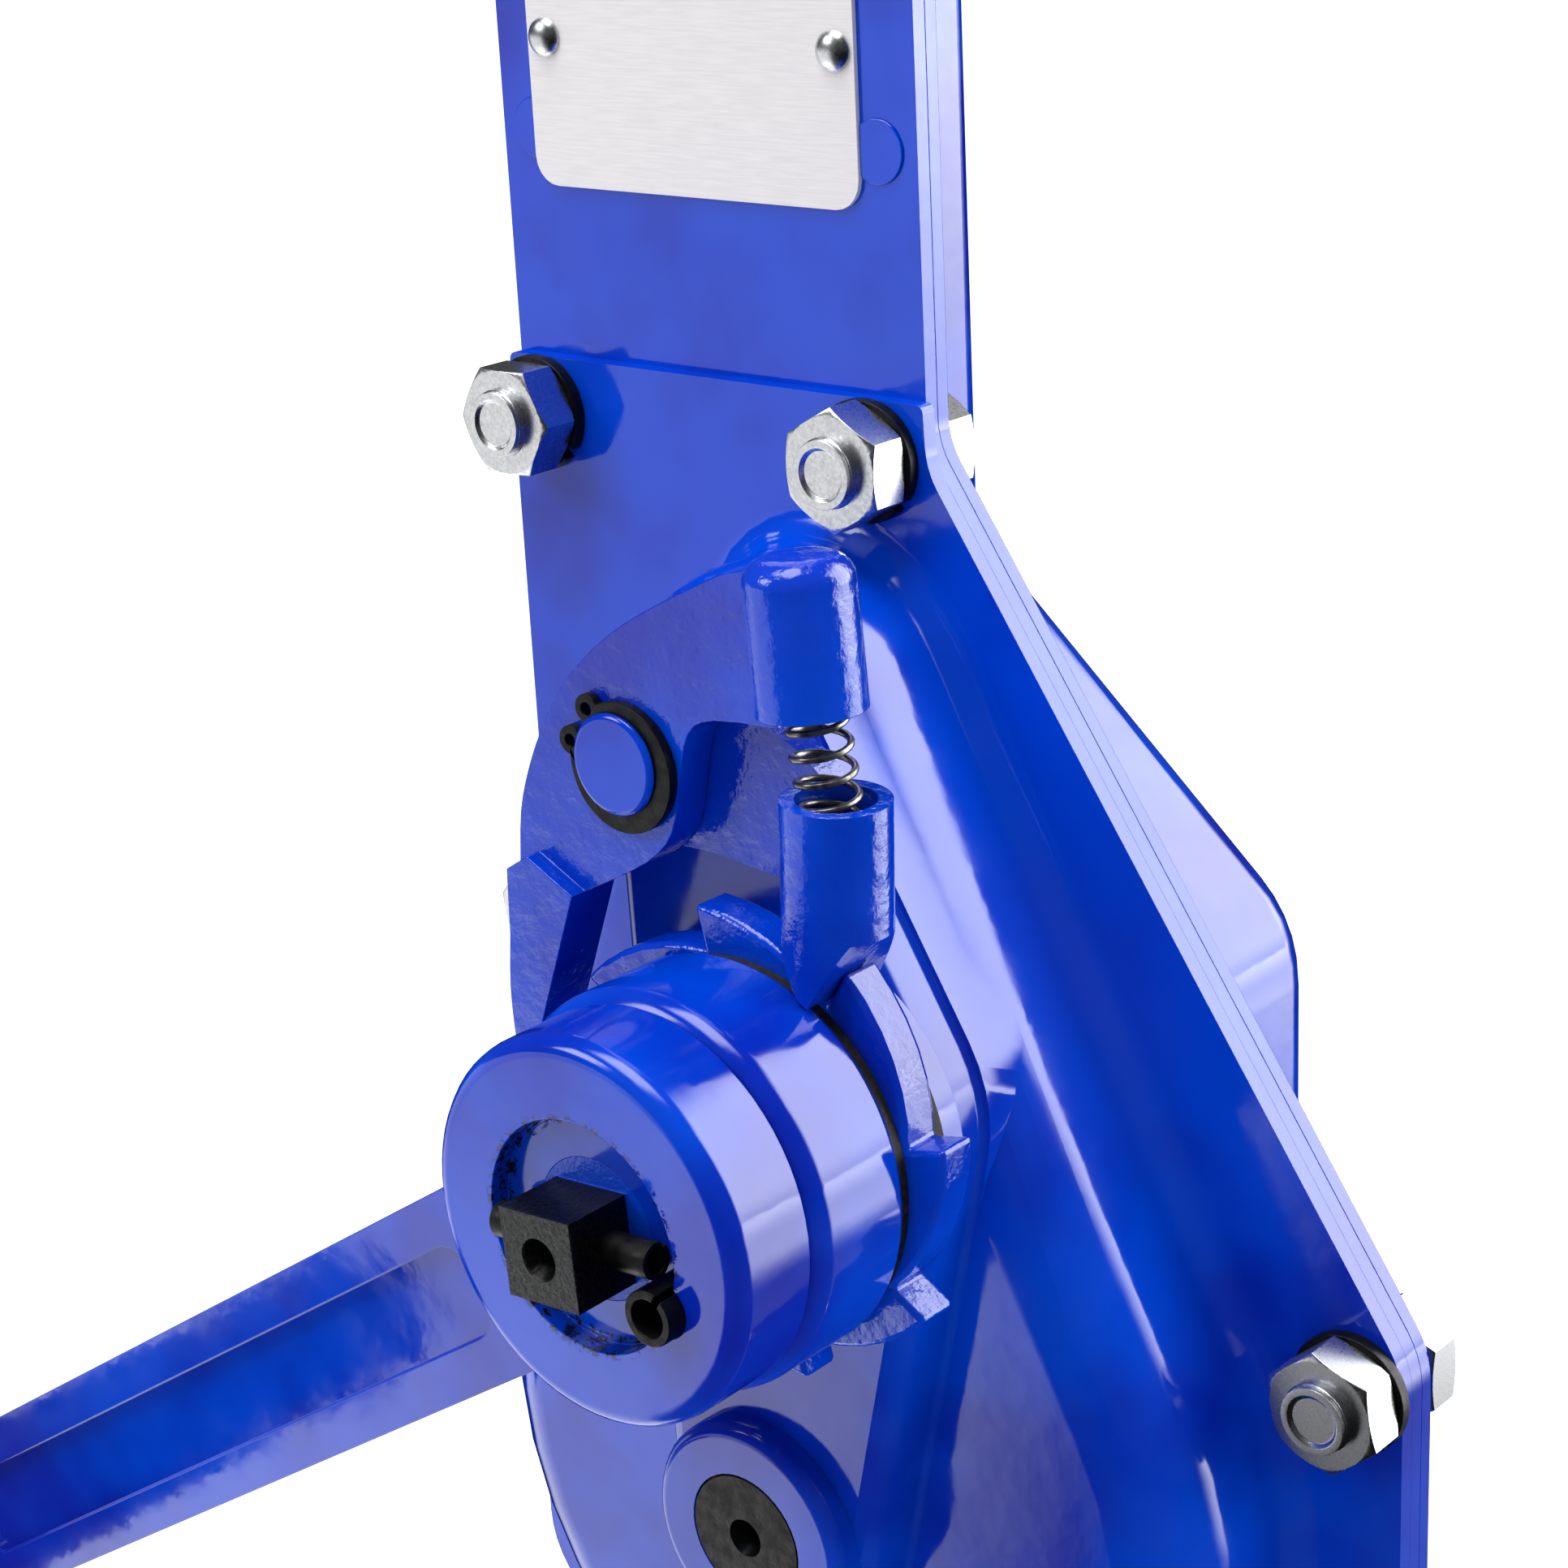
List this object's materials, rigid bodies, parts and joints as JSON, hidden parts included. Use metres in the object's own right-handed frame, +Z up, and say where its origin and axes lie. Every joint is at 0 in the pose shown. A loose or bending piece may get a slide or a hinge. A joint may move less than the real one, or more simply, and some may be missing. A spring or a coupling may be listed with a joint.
{
  "type": "rack and pinion jack",
  "caption": "Steel rack jack: a casing with claw and horned swivel head climbs a toothed rack on a foot plate, driven by a crank with load brake and pawls.",
  "frame": {"origin": "centre of the foot plate's underside", "axes": "+Z up along the rack, +X to the right seen from the crank's side, -Y towards the crank"},
  "size_m": [0.2744, 0.2766, 0.725],
  "materials": {
    "paint": "glossy blue enamel",
    "zinc": "bright zinc plating",
    "steel": "bare oiled steel",
    "black": "black oxide steel",
    "bronze": "sintered bronze",
    "lining": "pressed friction lining",
    "plate": "bare satin sheet",
    "grip": "black moulded grip"
  },
  "bodies": {
    "foot": {"foot_plate": "paint", "foot_socket": "paint", "foot_pins": "zinc", "rack": "steel"},
    "casing": {"middle_plate": "paint", "gear_cover": "paint", "rear_casing": "paint", "plug_welds": "paint", "cover_bolts": "zinc", "cover_nuts": "zinc", "spring_washers": "black", "nameplate": "plate", "nameplate_rivets": "zinc", "crank_bush_front": "bronze", "crank_bush_rear": "bronze", "gear_bush_front": "bronze", "gear_bush_rear": "bronze", "rack_guides": "bronze", "pawl_pin": "paint", "pawl_circlip": "black", "claw": "paint", "head_block": "paint", "carry_handle": "paint"},
    "gear_shaft": {"pinion_shaft": "black", "gear_wheel": "steel", "gear_key": "steel"},
    "crank_shaft": {"drive_shaft": "black", "pressure_flange": "paint", "flange_key": "steel", "cross_pin": "black"},
    "ratchet": {"ratchet_wheel": "paint", "friction_disc_rear": "lining", "friction_disc_front": "lining"},
    "crank": {"brake_hub": "paint", "thread_bush": "paint", "stop_pin": "black", "crank_arm": "paint", "grip_pin": "zinc", "grip_washer": "zinc"},
    "grip": {"crank_grip": "grip"},
    "push_pawl": {"push_pawl": "paint", "pawl_spring": "steel"},
    "hook_pawl": {"hook_pawl": "paint"},
    "head": {"swivel_head": "paint", "head_circlip": "black"}
  },
  "joints": [
    {"name": "lift", "type": "slide", "parent": "foot", "child": "casing", "axis": [0, 0, 1], "range_m": [0, 0.35]},
    {"name": "gear_spin", "type": "hinge", "parent": "casing", "child": "gear_shaft", "pos_m": [0.034, 0, 0.22877], "axis": [0, 1, 0], "range_deg": [-1115, 0]},
    {"name": "drive_spin", "type": "hinge", "parent": "casing", "child": "crank_shaft", "pos_m": [0.0475, 0, 0.3], "axis": [0, 1, 0], "range_deg": [0, 5350]},
    {"name": "ratchet_turn", "type": "hinge", "parent": "casing", "child": "ratchet", "pos_m": [0.0475, 0, 0.3], "axis": [0, 1, 0], "range_deg": [0, 20]},
    {"name": "push_pawl_lift", "type": "hinge", "parent": "casing", "child": "push_pawl", "pos_m": [0.0259, 0, 0.3508], "axis": [0, 1, 0], "range_deg": [-3.7, 0], "deforming": ["pawl_spring"]},
    {"name": "hook_pawl_lift", "type": "hinge", "parent": "casing", "child": "hook_pawl", "pos_m": [0.0259, 0, 0.3508], "axis": [0, 1, 0], "range_deg": [0, 3.05]},
    {"name": "brake_turn", "type": "hinge", "parent": "crank_shaft", "child": "crank", "pos_m": [0.0475, 0, 0.3], "axis": [0, 1, 0], "range_deg": [0, 30]},
    {"name": "grip_spin", "type": "hinge", "parent": "crank", "child": "grip", "pos_m": [-0.13701, -0.1, 0.18018], "axis": [0, 1, 0], "continuous": true},
    {"name": "head_swivel", "type": "hinge", "parent": "casing", "child": "head", "pos_m": [0, 0, 0.7], "axis": [0, 0, 1], "continuous": true}
  ],
  "couplings": [
    {"joint": "gear_spin", "follows": "lift", "rad_per_m": -55.556},
    {"joint": "drive_spin", "follows": "lift", "rad_per_m": 266.67},
    {"joint": "push_pawl_lift", "follows": "ratchet_turn", "ratio": -0.1825},
    {"joint": "hook_pawl_lift", "follows": "ratchet_turn", "ratio": 0.15}
  ]
}
